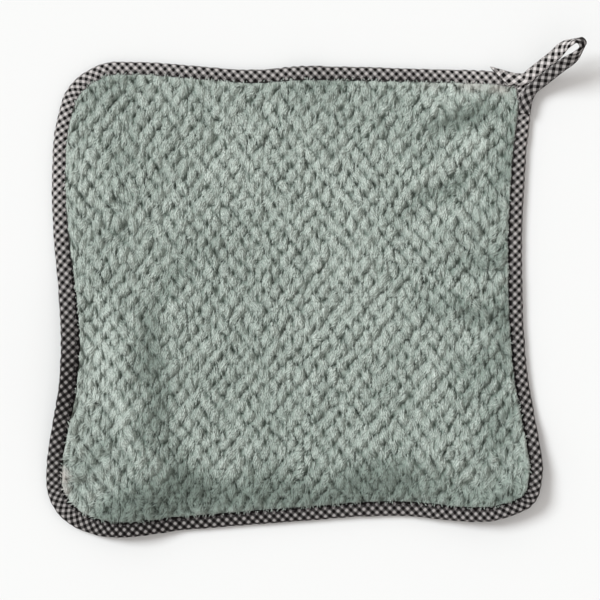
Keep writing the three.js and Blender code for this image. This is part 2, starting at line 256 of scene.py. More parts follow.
def napHeading(x, y):
    # which way the fibres lie, in degrees from +X: down the cloth, leaning to the left in the middle
    lean = 6 * np.exp(-((x + 5) ** 2 + (y + 30) ** 2) / 75 ** 2) + 4
    return -90 - lean + 8 * softNoise(x, y, 28, 21) + 6 * softNoise(x, y, 11, 22)


def makeTufts(seed):
    # what differs from tuft to tuft and slit to slit, by column and row
    rng = np.random.default_rng(seed)
    shape = (tableSize, tableSize)
    return {
        "x": rng.normal(0, 0.32, shape),
        "y": rng.normal(0, 0.5, shape),
        "tilt": np.radians(rng.normal(8, 12, shape)),
        "depth": rng.uniform(0.5, 1.15, shape),
        "long": rng.uniform(0.7, 1.3, shape),
        "rise": rng.normal(0, 0.5, shape),
        "turn": rng.normal(0, 15, shape),
        "shade": rng.normal(0, 1, shape),
    }


def pileShape(x, y, tufts):
    # how deep each place lies in a slit, how far it is from its tuft's middle, how deep it lies between
    # two tufts, which tuft it is on, and how brushed out the pile is
    brushed = brushedShare(x, y)
    size = pile["shuffleSize"]
    u = x + pile["wobble"] * softNoise(x, y, 52, 11) + pile["shuffle"] * softNoise(x, y, size, 13)
    v = y + pile["wobble"] * softNoise(x, y, 64, 12) + pile["shuffle"] * softNoise(x, y, size, 14)
    u, v = u / pile["column"], v / pile["row"]
    lean = np.radians(napHeading(x, y) + 90)
    i0, j0 = np.rint(u).astype(int), np.rint(v).astype(int)
    slit = np.zeros(x.shape)
    nearest, second = np.full(x.shape, 9.0), np.full(x.shape, 9.0)
    tuft = np.zeros(x.shape, int)
    for di in (-1, 0, 1):
        for dj in (-1, 0, 1):
            i, j = (i0 + di) % tableSize, (j0 + dj) % tableSize
            isSlit = (i0 + di + j0 + dj) % 2 == 1
            dx = (u - i0 - di) * pile["column"] - tufts["x"][i, j]
            dy = (v - j0 - dj) * pile["row"] - tufts["y"][i, j]
            turn = lean + tufts["tilt"][i, j]
            across = dx * np.cos(turn) + dy * np.sin(turn)
            along = dy * np.cos(turn) - dx * np.sin(turn)
            slitAlong = along / pile["slitLong"] / tufts["long"][i, j]
            depth = tufts["depth"][i, j] * np.exp(-(across / pile["slitWide"]) ** 2 - slitAlong ** 2)
            slit = np.where(isSlit, np.maximum(slit, depth), slit)
            away = np.hypot(across / pile["tuftWide"], along / pile["tuftLong"])
            closer = ~isSlit & (away < nearest)
            second = np.where(closer, nearest, np.where(~isSlit, np.minimum(second, away), second))
            tuft = np.where(closer, i * tableSize + j, tuft)
            nearest = np.where(closer, away, nearest)
    slit = np.clip(slit, 0, 1) * (1 - 0.2 * brushed)
    crease = (1 - smoothStep(0, pile["creaseWide"], second - nearest)) * (1 - 0.4 * brushed)
    crease *= smoothStep(-0.5, 0.7, softNoise(x, y, 5.5, 15))
    return slit, nearest, crease, tuft, brushed


def clothHeights(x, y, tufts, under=False):
    # height of one face of the fleece, how far inside the tape it is, how hollow, its tuft and its base
    inward, reach, base = edgeZone(x, y)
    slit, nearest, crease, tuft, brushed = pileShape(x, y, tufts)
    t = np.clip((inward - reach) / cloth["shoulder"], 0, 1)
    full = np.sqrt(1 - (1 - t) ** 2)
    rise = tufts["rise"].ravel()[tuft]
    if under:
        free = np.clip(lift(x, y) / 2, 0, 1)    # where the cloth stands off the surface its tufts are full
        hollow = pile["underLow"] * (nearest ** 2 + crease) + pile["underSlit"] * slit
        height = blend(base + marginLow, lift(x, y) + hollow - free * np.clip(rise, 0, 0.2), full)
        return np.maximum(height, 0.02), inward - reach, np.maximum(slit, 0.7 * crease), tuft, base
    top = pile["crown"] + rise - pile["dome"] * nearest ** 2
    top -= pile["crease"] * crease + pile["slitDepth"] * slit
    top += pile["lumps"] * (np.abs(softNoise(x, y, pile["lumpSize"], 31)) - 0.4)
    top += pile["clumps"] * brushed * softNoise(x, y, pile["clumpSize"], 32)
    height = blend(base + marginHigh, lift(x, y) + np.maximum(top, pile["thinnest"]), full)
    hollow = np.maximum(np.maximum(slit, 0.7 * crease), 0.45 * nearest ** 2)
    return height, inward - reach, hollow, tuft, base


def tubeFaces(index):
    # four-cornered faces between the rows of a table of points, each row being a closed ring
    here, ahead = index[:-1], index[1:]
    return np.stack([here, ahead, np.roll(ahead, -1, 1), np.roll(here, -1, 1)], axis=-1).reshape(-1, 4)


# Materials
class Wire:
    # a shader socket that can be used in sums, which add Math nodes
    def __init__(self, socket):
        self.socket = socket

    def node(self, kind, settings=None, inputs=None, output=0):
        made = self.socket.id_data.nodes.new(kind)
        for name, value in (settings or {}).items():
            setattr(made, name, value)
        for name, value in (inputs or {}).items():
            target = made.inputs[name]
            if isinstance(value, Wire):
                self.socket.id_data.links.new(value.socket, target)
            else:
                target.default_value = value
        return Wire(made.outputs[output])

    def maths(self, operation, *values, clamp=False):
        settings = {"operation": operation, "use_clamp": clamp}
        return self.node("ShaderNodeMath", settings, dict(enumerate(values)))

    def __add__(self, other):
        return self.maths("ADD", self, other)

    def __radd__(self, other):
        return self.maths("ADD", other, self)

    def __sub__(self, other):
        return self.maths("SUBTRACT", self, other)

    def __rsub__(self, other):
        return self.maths("SUBTRACT", other, self)

    def __mul__(self, other):
        return self.maths("MULTIPLY", self, other)

    def __rmul__(self, other):
        return self.maths("MULTIPLY", other, self)

    def __truediv__(self, other):
        return self.maths("DIVIDE", self, other)

    def __rtruediv__(self, other):
        return self.maths("DIVIDE", other, self)

    def clamped(self):
        return self.maths("ADD", self, 0, clamp=True)

    def layer(self, name):
        return self.node("ShaderNodeAttribute", {"attribute_name": name}, output="Vector")

    def split(self):
        # the three numbers of a vector
        parts = self.node("ShaderNodeSeparateXYZ", inputs={0: self})
        return [Wire(output) for output in parts.socket.node.outputs]


def startFinish(name, **sockets):
    # a new material, its shader node and a wire to build from
    material = bpy.data.materials.new(name)
    material.use_nodes = True
    shader = material.node_tree.nodes["Principled BSDF"]
    for socket, value in sockets.items():
        shader.inputs[socket.replace("_", " ")].default_value = value
    return material, shader, Wire(shader.outputs[0])


def plug(value, shader, socket):
    shader.id_data.links.new(value.socket, shader.inputs[socket])


def mixed(wire, share, first, second):
    # colours mixed by a share; a Mix node has its colours at inputs 6 and 7 and output 2
    return wire.node("ShaderNodeMix", {"data_type": "RGBA"}, {0: share, 6: first, 7: second}, 2)


fleeceFinish = {
    "deepShade": (0.14, 0.178, 0.15, 1),     # painted shade at the roots and down in the slits
    "body": (0.335, 0.402, 0.356, 1),   # darkest lit tone, for random darker strands and for painted shade
    "bright": (0.796, 0.868, 0.806, 1),
    "pale": (0.560, 0.525, 0.490, 1),   # pressed fibres beside the tape
    "roughness": 0.92,
}


def makeFleece(name, stranded):
    material, shader, wire = startFinish(
        name, Roughness=fleeceFinish["roughness"], Sheen_Weight=0.25, Sheen_Roughness=0.5,
        Specular_IOR_Level=0.15)
    shade, along, pale = wire.layer("pileLay").split()
    place = wire.node("ShaderNodeTexCoord", output="Object")
    patches = wire.node("ShaderNodeTexNoise", inputs={"Vector": place, "Scale": 38, "Detail": 3})
    if stranded:
        # fine fibres that run along each strand
        lie = wire.layer("fibreLay")
        drawn = lie.node("ShaderNodeVectorMath", {"operation": "MULTIPLY"}, {0: lie, 1: (9, 0.9, 1)})
        fibres = wire.node("ShaderNodeTexNoise", inputs={"Vector": drawn, "Scale": 1, "Detail": 3})
    else:
        drawn = place.node("ShaderNodeVectorMath", {"operation": "MULTIPLY"}, {0: place, 1: (1, 0.2, 0.5)})
        fibres = wire.node("ShaderNodeTexNoise", inputs={"Vector": drawn, "Scale": 4200, "Detail": 3})
    # shade holds random tone of strands and tufts, and painted light and shade of the folds and slits
    bright = (shade + (patches - 0.5) * 0.35 + (fibres - 0.5) * (1.6 if stranded else 1.2)).clamped()
    lit = mixed(wire, bright, fleeceFinish["body"], fleeceFinish["bright"])
    # painted shade at the roots and in the slits
    rooted = mixed(wire, along.clamped(), fleeceFinish["deepShade"], lit)
    plug(mixed(wire, pale.clamped(), rooted, fleeceFinish["pale"]), shader, "Base Color")
    bump = wire.node("ShaderNodeBump", inputs={"Strength": 0.8, "Distance": 0.0003, "Height": fibres})
    plug(bump, shader, "Normal")
    return material


ginghamFinish = {
    "square": 1.5875,       # one woven square, a sixteenth of an inch
    "yarn": 0.265,          # one yarn and its gap
    "light": (0.86, 0.81, 0.79, 1),
    "dark": (0.006, 0.005, 0.005, 1),
    "blackShare": 0.53,     # black bands against light ones
    "warpShare": 0.68,      # how much of a mixed square is warp
    "shadeOnLight": 0.8,       # painted shade takes less from its light squares
    "shadeOnMixed": 1.17,      # than from its mixed ones
    "fuzz": (0.36, 0.33, 0.32, 1),
}


def makeGingham():
    material, shader, wire = startFinish("gingham tape", Roughness=0.95, Specular_IOR_Level=0.02)
    along, across, paintedShade = wire.layer("tapeLay").split()
    diagonal = math.sqrt(0.5)
    warp = (along + across) * diagonal
    weft = (along - across) * diagonal

    def isLight(way):
        # 1 in light bands and 0 in dark ones, with a soft step between
        wave = way.maths("PINGPONG", way / ginghamFinish["square"], 1)
        return ((wave - ginghamFinish["blackShare"]) * 8 + 0.5).clamped()

    def yarnTop(way):
        # rounded top of each yarn
        return wire.maths("SINE", way * (math.pi / ginghamFinish["yarn"]))

    over = yarnTop(warp) * yarnTop(weft)
    warpOver = (over * 1.6 + ginghamFinish["warpShare"]).clamped()
    warpLight, weftLight = isLight(warp), isLight(weft)
    light = warpLight * weftLight
    half = blend(weftLight, warpLight, warpOver) - light
    # painted shade darkens the squares
    tone = light * (1 - paintedShade * ginghamFinish["shadeOnLight"])
    tone = tone + half * (1 - paintedShade * ginghamFinish["shadeOnMixed"]).clamped()
    colour = mixed(wire, tone, ginghamFinish["dark"], ginghamFinish["light"])
    place = wire.node("ShaderNodeTexCoord", output="Object")
    fuzz = wire.node("ShaderNodeTexNoise", inputs={"Vector": place, "Scale": 900, "Detail": 2})
    plug(mixed(wire, ((fuzz - 0.4) * 0.1).clamped(), colour, ginghamFinish["fuzz"]), shader, "Base Color")
    relief = over.maths("ABSOLUTE", over)
    bump = wire.node("ShaderNodeBump", inputs={"Strength": 0.5, "Distance": 0.00008, "Height": relief})
    plug(bump, shader, "Normal")
    return material


def makeThread():
    material, shader, wire = startFinish("sewing thread", Roughness=0.6, Specular_IOR_Level=0.3)
    place = wire.node("ShaderNodeTexCoord", output="Object")
    twist = wire.node("ShaderNodeTexNoise", inputs={"Vector": place, "Scale": 3000, "Detail": 1})
    plug(mixed(wire, twist, (0.03, 0.026, 0.026, 1), (0.11, 0.1, 0.1, 1)), shader, "Base Color")
    return material


fleece, strandFleece = makeFleece("fleece ground", False), makeFleece("fleece strands", True)
gingham, thread = makeGingham(), makeThread()
print("materials made")


def makePiece(name, points, faces, finish, **layers):
    # a smooth mesh in the frame's place; faces is a list of arrays of corners, and layers are per point
    mesh = bpy.data.meshes.new(name)
    mesh.vertices.add(len(points))
    mesh.vertices.foreach_set("co", (np.asarray(points) / 1000).astype(np.float32).ravel())
    sizes = np.concatenate([np.full(len(block), block.shape[1]) for block in faces])
    corners = np.concatenate([block.ravel() for block in faces]).astype(np.int32)
    mesh.loops.add(len(corners))
    mesh.loops.foreach_set("vertex_index", corners)
    mesh.polygons.add(len(sizes))
    mesh.polygons.foreach_set("loop_start", (np.cumsum(sizes) - sizes).astype(np.int32))
    mesh.update(calc_edges=True)
    mesh.polygons.foreach_set("use_smooth", np.ones(len(sizes), bool))
    for layer, values in layers.items():
        made = mesh.attributes.new(layer, "FLOAT_VECTOR", "POINT")
        made.data.foreach_set("vector", np.asarray(values, np.float32).ravel())
    mesh.materials.append(finish)
    piece = bpy.data.objects.new(name, mesh)
    scene.collection.objects.link(piece)
    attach(piece, "root")
    print(f"{name}: {(sizes - 2).sum()} triangles")
    return piece


# Painted light and shade of the folds, ridges and creases, laid into the nap's colour: lines of x, y, how
# much lighter, and reach
paintedFoldShades = {
    "bright side of the left ridge": [(-107, 4, 0.2, 10), (-104, -22, 0.22, 10), (-106, -50, 0.3, 11)],
    "middle of the left ridge": [(-97, -56, 0.3, 10), (-90, -74, 0.4, 11)],
    "dark side of the left ridge": [(-50, 26, -0.2, 8), (-68, 12, -0.35, 8), (-79, 2, -0.35, 9),
                                    (-80, -28, -0.45, 11), (-75, -56, -0.52, 12), (-71, -76, -0.4, 12),
                                    (-58, -96, -0.55, 16)],
    "left corner": [(-95, -70, -0.5, 8), (-105, -76, -0.35, 8), (-118, -96, -0.1, 12)],
    "dark foot": [(-100, -114, -1.0, 14), (-66, -104, -1.2, 19), (-30, -104, -0.8, 14), (10, -106, -0.85, 14),
                  (52, -101, -0.75, 15), (82, -106, -0.5, 12), (108, -108, -0.6, 14)],
    "above the foot": [(-20, -93, -0.2, 11), (30, -92, -0.4, 12), (62, -91, -0.45, 13), (80, -94, -0.3, 10)],
    "right corner": [(116, -98, -0.35, 15), (100, -92, -0.3, 14), (108, -60, -0.4, 16)],
    "first crease": [(104, 104, -0.45, 8), (86, 96, -0.65, 9), (66, 88, -0.3, 8)],
    "above the second crease": [(92, 84, 0.4, 9), (82, 72, 0.4, 8), (66, 66, 0.25, 8)],
    "second crease": [(88, 68, -0.25, 6), (76, 60, -0.4, 6), (56, 48, -0.3, 7), (44, 44, -0.15, 7)],
    "below the second crease": [(90, 58, 0.3, 9), (78, 47, 0.35, 9), (66, 36, 0.2, 9)],
    "beside it": [(103, 64, -0.4, 8), (98, 50, -0.3, 8)],
    "third crease": [(108, 28, -0.45, 9), (94, 18, -0.45, 9), (76, 13, -0.2, 8)],
    "fourth crease": [(108, -6, -0.4, 12), (88, -10, -0.55, 11), (66, 0, -0.35, 10)],
    "right side": [(112, 8, -0.4, 12), (106, -36, -0.4, 16), (84, -46, -0.25, 14)],
    "right edge": [(113, 100, -0.3, 8), (112, 66, -0.35, 8)],
    "above the first crease": [(94, 111, 0.3, 7), (70, 106, 0.3, 8)],
    "under the top edge": [(2, 113, -0.3, 8), (24, 113, -0.35, 8)],
    "top-left corner": [(-104, 110, -0.25, 11), (-92, 116, -0.25, 9)],
    "left side": [(-112, 74, 0.1, 11), (-110, 50, 0.1, 11)],
    "light middle": [(-20, 66, 0.12, 50), (30, 50, 0.14, 50), (10, 0, 0.1, 60)],
}


def paintedFoldShade(x, y):
    # painted light and shade of the folds along wandering lines, and the nap's own tone is nowhere quite even
    aside, along = 5 * softNoise(x, y, 17, 94), 5 * softNoise(x, y, 17, 95)
    uneven = 0.06 * softNoise(x, y, 24, 106) + 0.07 * softNoise(x, y, 11, 107)
    return crests(paintedFoldShades, x + aside, y + along) + uneven


def darkShare(x, y):
    # where the painted fold shade is darkest, the lit colour gives way to the deep painted shade
    return np.clip(1.25 + 0.7 * paintedFoldShade(x, y), 0.3, 1)


# Pale pressed patches beside the tape: x, y, radius, how much
paleSpots = [
    (-123.2, -92, 5.5, 0.9), (-124.0, -100, 5, 0.7), (90, 110, 9, 0.55), (104, 109, 7, 0.7),
    (68, 111, 7, 0.3), (-113.5, 60, 6, 0.25), (111, 10, 5, 0.25),
]


def paleShare(x, y, pastTape):
    share = 0.1 * smoothStep(1.6, 0, pastTape)
    for cx, cy, radius, much in paleSpots:
        share = np.maximum(share, much * smoothStep(1.3, 0.3, np.hypot(x - cx, y - cy) / radius))
    return share * smoothStep(7, 1, pastTape)


# The ground cloth: a fine upper face and a plainer underside, joined along the margin inside the tape
def cornerRuns(steps):
    # distances round the edge, in equal steps from each corner to the next
    starts = [edgeRun[index * rowSteps] for index, row in enumerate(edgeRows) if row.get("corner")]
    ends = starts[1:] + [starts[0] + edgeLength]
    return np.concatenate([np.linspace(a, b, steps, endpoint=False) for a, b in zip(starts, ends)])


def stretchedGrid(ring, n):
    # a grid stretched between the four sides of a ring, its own border left out
    top, right = ring[:n + 1], ring[n:2 * n + 1]
    bottom, left = ring[2 * n:3 * n + 1][::-1], np.vstack([ring[3 * n:], ring[:1]])[::-1]
    share = np.arange(1, n) / n
    u, v = share[:, None, None], share[None, :, None]
    inner = (1 - v) * top[1:-1][:, None] + v * bottom[1:-1][:, None]
    inner = inner + (1 - u) * left[1:-1][None] + u * right[1:-1][None]
    fromTop = (1 - u) * (1 - v) * top[0] + u * (1 - v) * top[-1]
    return inner - (fromTop + u * v * bottom[-1] + (1 - u) * v * left[-1])


def clothFace(steps, tufts, under):
    # points, faces and lay of one face of the fleece, from its margin inwards; its first ring is the margin
    stations = stationsAt(cornerRuns(steps))
    outline, inWay = stations[:, :2], stations[:, 3:]
    reach = stations[:, 2:3] + cloth["pastTape"]
    neck = outline + inWay * reach
    shoulder = neck - cloth["shoulder"] * neck / np.linalg.norm(neck, axis=1)[:, None]
    margin = outline + inWay * marginLow
    rings = [margin, outline + inWay * (reach - 0.7)]
    rings += [blend(neck, shoulder, share) for share in (0, 0.1, 0.28, 0.5, 0.75, 1)]
    inner = stretchedGrid(shoulder, steps)
    plan = np.vstack([*rings, inner.reshape(-1, 2)])
    height, past, slit, _, _ = clothHeights(*plan.T, tufts, under)
    count = 4 * steps
    height[:count] = tapeBase(stations.T, marginLow) + (marginLow if under else marginHigh)
    points = np.column_stack([plan, height])
    ringIndex = np.arange(len(rings) * count).reshape(len(rings), count)
    grid = np.zeros((steps + 1, steps + 1), int)
    grid[1:-1, 1:-1] = len(rings) * count + np.arange((steps - 1) ** 2).reshape(steps - 1, steps - 1)
    last = ringIndex[-1]
    grid[:, 0] = last[:steps + 1]
    grid[-1, :] = last[steps:2 * steps + 1]
    grid[:, -1] = last[2 * steps:3 * steps + 1][::-1]
    grid[0, 1:] = last[3 * steps:][::-1]
    middle = np.stack([grid[:-1, :-1], grid[:-1, 1:], grid[1:, 1:], grid[1:, :-1]], axis=-1)
    faces = np.vstack([tubeFaces(ringIndex), middle.reshape(-1, 4)])
    # lighter where brushed out; painted shade down in the slits and painted light and shade of the folds
    shade = np.clip(0.36 - 0.3 * slit + 0.16 * brushedShare(*plan.T) + paintedFoldShade(*plan.T), 0, 1)
    # painted shade: the deep colour shows in the slits and under the darkest painted fold shade
    rooted = np.clip(0.8 - 0.75 * slit, 0, 1) * darkShare(*plan.T)
    lay = np.column_stack([shade, rooted, paleShare(*plan.T, past)])
    return points, faces[:, ::-1] if under else faces, lay


def makeGround(topTufts, underTufts):
    topPoints, topFaces, topLay = clothFace(cloth["sideSteps"], topTufts, False)
    lowPoints, lowFaces, lowLay = clothFace(cloth["underSteps"], underTufts, True)
    shift = len(topPoints)
    ratio = cloth["sideSteps"] // cloth["underSteps"]
    ring = np.arange(4 * cloth["sideSteps"])
    low = shift + np.arange(4 * cloth["underSteps"])
    # along the margin each step of the underside meets two steps of the upper face
    a, b, c = ring[::ratio], ring[1::ratio], np.roll(ring, -ratio)[::ratio]
    nextLow = np.roll(low, -1)
    rim = np.vstack([np.column_stack(three) for three in ((a, b, low), (b, nextLow, low), (b, c, nextLow))])
    points = np.vstack([topPoints, lowPoints])
    lay = np.vstack([topLay, lowLay])
    return makePiece("fleece_cloth", points, [topFaces, lowFaces + shift, rim], fleece, pileLay=lay)


topTufts, underTufts = makeTufts(5), makeTufts(8)
ground = makeGround(topTufts, underTufts)
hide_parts("fleece_panel")

# The tape folded over the edge
tape = {
    "stations": 1040,
    "nose": 2.2,            # how far in the fold starts to round over
    "bulge": 0.3,           # the top of the tape stands up between its stitching and its fold
    "underPile": 0.6,       # this much of it lies under the strands at its edge
    "blunt": 0.25,          # rounding of its inner edges
    "stitchIn": 1.15,       # stitching, from the tape's inner edge
    "stitchDip": 0.28,      # how deep the tape is drawn in along it
    "stitchReach": 0.55,
    "stitchPitch": 2.6,
    "stitchLong": 1.9,
    "threadRadius": 0.16,
    "repeat": 4.49,         # the gingham's repeat along the bias
    "innerShade": 0.45,       # how much more painted shade lies inside its stitching
}

# Strands of pile, each a slim spindle that lies along the nap over its tuft
strands = {
    "spacing": 1.05,
    "underSpacing": 2.4,
    "length": 2.9,
    "brushedLength": 3.9,
    "width": 0.62,
    "thinner": 0.86,        # width of its outer ring for that of its inner one
    "crossed": 0.3,         # share of strands that lie the other way round
    "flat": 0.7,            # height of a strand for its width
    "stand": 0.26,          # how far the middle stands off the ground cloth
    "lap": 2.4,             # strands at the edge lie this far over the tape
}


def strandMesh(mid, heading, length, width, bend, tufts, under, rng, stand):
    # points, faces and both layers of spindles, which have a root, two rings of three points and a tip
    count = len(mid)
    ways = np.column_stack([np.cos(heading), np.sin(heading)])
    sides = np.column_stack([-ways[:, 1], ways[:, 0]])
    shares = np.array([0, 0.3, 0.7, 1])         # along the strand
    bow = np.array([0, 0.8, 0.8, -0.2])         # bent to the side
    raised = np.array([-0.9, 0.9, 1.0, 0.1])    # off the ground cloth
    plan = mid[:, None] + ways[:, None] * (length[:, None, None] * (shares - 0.48)[None, :, None])
    plan = plan + sides[:, None] * (bend[:, None, None] * bow[None, :, None])
    height, past, slit, tuft, base = clothHeights(*plan.reshape(-1, 2).T, tufts, under)
    if not under:
        overTape = np.maximum(height, base + bindingHeight + tape["bulge"])
        height = blend(height, overTape, smoothStep(0.1, -0.4, past))
    height, past, slit = height.reshape(count, 4), past.reshape(count, 4), slit.reshape(count, 4)
    up = -1 if under else 1
    spread = stand * rng.uniform(0.55, 1.35, count)
    height = height + up * raised * spread[:, None]
    height[:, 3] += up * np.clip(rng.normal(0, 0.16, count), -0.2, 0.5)
    lap = 0.1 if under else strands["lap"] * rng.random(count)
    keep = (past[:, [0, 3]].min(axis=1) > -lap - 0.5) & (past[:, 1:3].max(axis=1) > 0)
    keep &= (slit[:, 1:3].max(axis=1) < 0.6) | (rng.random(count) < 0.25)
    if under:
        height = np.maximum(height, 0.05)
    line = np.concatenate([plan, height[:, :, None]], axis=2)
    roll = rng.normal(0, 0.3, count)
    upWay = np.column_stack([sides * np.sin(roll)[:, None], np.cos(roll) * up])
    outWay = np.cross(np.column_stack([ways, np.zeros(count)]), upWay) * up
    points = np.empty((count, 8, 3))
    points[:, 0], points[:, 7] = line[:, 0], line[:, 3]
    for at, thick in ((1, 1), (2, strands["thinner"])):
        half = (width * thick / 2)[:, None]
        for k, (aside, above) in enumerate(((1, -0.5), (0, 1), (-1, -0.5))):
            off = half * (outWay * aside + upWay * strands["flat"] * above)
            points[:, 3 * at - 2 + k] = line[:, at] + off
    if under:
        points[:, :, 2] = np.maximum(points[:, :, 2], 0.01)
    pattern = [(0, 2, 1), (0, 3, 2), (0, 1, 3)]
    for k in range(3):
        a, b = 1 + k, 1 + (k + 1) % 3
        pattern += [(a, b, b + 3), (a, b + 3, a + 3), (a + 3, b + 3, 7)]
    tuft = tuft.reshape(count, 4)[:, 1]
    shade = 0.61 + 0.09 * rng.normal(0, 1, count) + 0.08 * tufts["shade"].ravel()[tuft]
    # painted light and shade of the folds
    shade += paintedFoldShade(*plan[:, 1].T)
    # painted shade at the roots and down in the slits, deepest under the darkest painted fold shade
    along = np.array([0.1, 0.92, 0.92, 0.92, 1, 1, 1, 0.8])
    deepShade = 1 - 0.8 * slit[:, [0, 1, 1, 1, 2, 2, 2, 3]]
    deepShade *= darkShare(*plan[:, 1].T)[:, None]
    pale = paleShare(*plan[:, 1].T, past[:, 1])
    lay = np.stack([np.repeat(shade[:, None], 8, 1), along * deepShade, np.repeat(pale[:, None], 8, 1)], axis=2)
    # place on the strand: side to side and root to tip, with strands far apart in the third number
    side = np.array([0, 1, 0, -1, 1, 0, -1, 0]) * width[:, None] / 2
    root = np.array([0, 0.3, 0.3, 0.3, 0.7, 0.7, 0.7, 1]) * length[:, None]
    fibre = np.stack([side, root, np.repeat(rng.uniform(0, 90, count)[:, None], 8, 1)], axis=2)
    points, lay, fibre = points[keep], lay[keep], fibre[keep]
    faces = np.array(pattern) + 8 * np.arange(len(points))[:, None, None]
    return points.reshape(-1, 3), faces.reshape(-1, 3), lay.reshape(-1, 3), fibre.reshape(-1, 3)


def scatter(spacing, seed):
    # one place in every cell of an even grid over the cloth
    rng = np.random.default_rng(seed)
    x, y = np.meshgrid(np.arange(-134, 130, spacing), np.arange(-126, 127, spacing))
    places = np.column_stack([x.ravel(), y.ravel()])
    return places + rng.uniform(0, spacing, places.shape), rng


def makeStrands(name, spacing, seed, tufts, under=False, low=-999, high=999):
    mid, rng = scatter(spacing, seed)
    mid = mid[(mid[:, 1] >= low) & (mid[:, 1] < high)]
    inward, reach, _ = edgeZone(*mid.T)
    past = inward - reach
    inside = past > (0 if under else -0.5)
    mid, past = mid[inside], past[inside]
    x, y = mid.T
    *_, tuft, brushed = pileShape(x, y, tufts)
    count = len(mid)
    heading = napHeading(x, y) + tufts["turn"].ravel()[tuft] + rng.normal(0, 12, count)
    heading += 22 * softNoise(x, y, 2.9, 33)
    swirl = 85 * softNoise(x, y, 6, 40) + rng.normal(0, 14, count)
    heading = np.radians(heading + brushed * swirl + 180 * (rng.random(count) < strands["crossed"]))
    length = blend(strands["length"], strands["brushedLength"], brushed) * rng.uniform(0.72, 1.28, count)
    length *= blend(0.72, 1, smoothStep(0, 2.2, past))
    width = strands["width"] * rng.uniform(0.7, 1.3, count)
    bend = rng.normal(0, 0.3, count) + brushed * rng.normal(0, 0.8, count)
    stand = strands["stand"] * (1 + 0.25 * brushed)
    points, faces, lay, fibre = strandMesh(mid, heading, length, width, bend, tufts, under, rng, stand)
    piece = makePiece(name, points, [faces], strandFleece, pileLay=lay, fibreLay=fibre)
    return piece


# The upper face is three pieces, from the top edge down: lowest and highest y of each
pileBands = {"pile_upper": (42, 999), "pile_middle": (-39, 42), "pile_lower": (-999, -39)}
pilePieces = [
    makeStrands(name, strands["spacing"], 60 + k, topTufts, low=low, high=high)
    for k, (name, (low, high)) in enumerate(pileBands.items())
]
pilePieces.append(makeStrands("pile_underside", strands["underSpacing"], 70, underTufts, under=True))
print("fleece made")


def tapeEdge(width, middle):
    # rounded inner edge of one face of the tape, from its lower side to its upper one
    half, blunt = cloth["tapeWall"] / 2, tape["blunt"]
    turns = [math.radians(angle) for angle in (-90, -45, 0, 45, 90)]
    return [(width - blunt + blunt * math.cos(turn), middle + half * math.sin(turn)) for turn in turns]


def tapeSection(width, pucker):
    # inward and height of each point of the section, from the upper inner edge round the fold and back
    high, wall, nose = bindingHeight, cloth["tapeWall"], tape["nose"]
    points = tapeEdge(width, high - wall / 2)
    tops = []
    for share in np.linspace(0.06, 1, 9):
        inward = blend(width - tape["blunt"], nose, share)
        rise = tape["bulge"] * math.sin(math.pi * min(share * 1.05, 1)) ** 0.8
        fromStitch = (width - inward - tape["stitchIn"]) / tape["stitchReach"]
        dip = tape["stitchDip"] * pucker * math.exp(-fromStitch ** 2)
        tops.append((inward, rise - dip))
    points += [(inward, high + rise) for inward, rise in tops]
    for angle in np.linspace(90, -90, 11)[1:-1]:
        turn = math.radians(angle)
        points.append((nose - nose * math.cos(turn), high / 2 + high / 2 * math.sin(turn)))
    points += [(inward, max(-rise, 0)) for inward, rise in reversed(tops)]
    points += tapeEdge(width, wall / 2)
    points += [(wall * 1.6, wall), (wall, wall * 1.6), (wall, high - wall * 1.6), (wall * 1.6, high - wall)]
    return np.array(points)


def makeBinding():
    count = tape["stations"]
    runs = np.arange(count) / count * edgeLength
    stations = stationsAt(runs)
    # sewn cloth is nowhere quite even: its inner edge, its fold, its stitching and its top all waver
    width = stations[:, 2] + tape["underPile"]
    width += 0.16 * softNoise(runs, 0, 7, 81) + 0.12 * softNoise(runs, 0, 2.4, 82)
    scallop = 0.2 * softNoise(runs, 0, 2.2, 86)
    pull = 0.6 + 0.4 * softNoise(runs, 0, 15, 83)
    puckers = 0.75 + 0.55 * np.cos(2 * math.pi * runs / tape["stitchPitch"]) * pull
    swell = 0.14 * softNoise(runs, 0, 9, 84)
    sections = [tapeSection(w, p) for w, p in zip(width, puckers)]
    per = len(sections[0])
    section = np.stack(sections)
    inward, height = section[:, :, 0], section[:, :, 1]
    height = height + swell[:, None] * smoothStep(3, bindingHeight, height)
    inward = inward + scallop[:, None] * smoothStep(2, 0, inward)
    base = tapeBase(stations.T[:, :, None], inward)
    plan = stations[:, None, :2] + stations[:, None, 3:] * inward[:, :, None]
    points = np.dstack([plan, base + height])
    across = np.cumsum(np.hypot(np.diff(inward), np.diff(height)), axis=1)
    across = np.concatenate([np.zeros((count, 1)), across], axis=1)
    repeats = round(edgeLength / tape["repeat"])
    along = runs * repeats * tape["repeat"] / edgeLength
    drift = 0.35 * softNoise(runs, 0, 30, 85)
    # painted shade along the tape, from the edge rows that give it
    paintedShadeRows = [(run, row["paintedShade"]) for run, row in zip(rowRuns, edgeRows) if "paintedShade" in row]
    paintedShade = np.interp(runs, *zip(*paintedShadeRows), period=edgeLength)
    # painted shade: the sewn-down inner strip lies in the shade of the pile
    paintedShades = paintedShade[:, None] * (1 + tape["innerShade"] * smoothStep(2.4, 1.2, width[:, None] - inward))
    lay = np.stack([np.repeat(along[:, None], per, 1), across + drift[:, None], paintedShades], axis=2)
    # the last station repeats the first, so that the pattern runs on round the ring
    points = np.concatenate([points, points[:1]])
    lay = np.concatenate([lay, lay[:1] + [repeats * tape["repeat"], 0, 0]])
    faces = tubeFaces(np.arange((count + 1) * per).reshape(count + 1, per))
    return makePiece("binding_tape", points.reshape(-1, 3), [faces], gingham, tapeLay=lay.reshape(-1, 3))


binding = makeBinding()
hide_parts("edge_binding")


